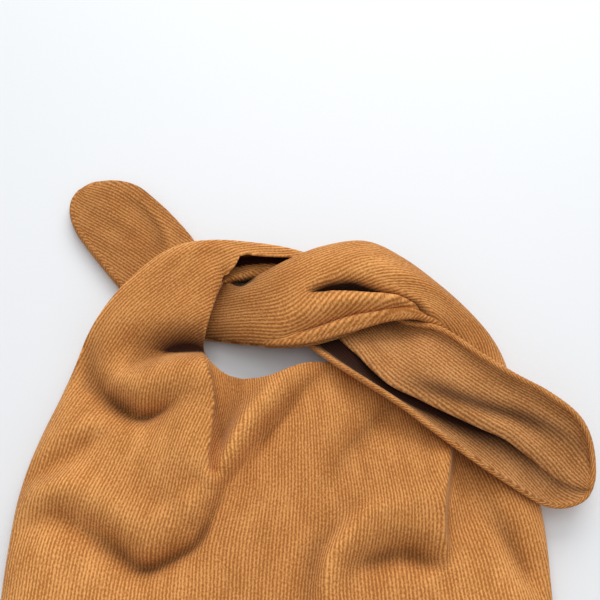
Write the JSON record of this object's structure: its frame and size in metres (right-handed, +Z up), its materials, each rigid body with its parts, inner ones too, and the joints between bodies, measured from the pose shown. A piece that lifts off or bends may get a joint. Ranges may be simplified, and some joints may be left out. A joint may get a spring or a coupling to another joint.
{
  "type": "knot wristlet bag",
  "caption": "Soft corduroy knot bag lying on its back, its wide arms tied in a half knot that forms a wrist handle, with rounded free ends.",
  "frame": {"origin": "on the surface that the bag lies on, under the middle of its body, at the flat underside of the back panel", "axes": "+X to the right across the front, +Y from the bottom seam towards the knot, +Z up out of the front"},
  "size_m": [0.2866, 0.3125, 0.0434],
  "materials": {
    "corduroy": "fine-wale corduroy, caramel",
    "corduroy_back": "fine-wale corduroy, caramel",
    "corduroy_facing": "fine-wale corduroy, caramel"
  },
  "bodies": {
    "root": {"front_panel": "corduroy", "back_panel": "corduroy_back", "front_arm_left": "corduroy", "back_arm_left": "corduroy_back", "front_arm_right": "corduroy", "back_arm_right": "corduroy_back", "tip_facing": "corduroy_facing"}
  },
  "joints": []
}
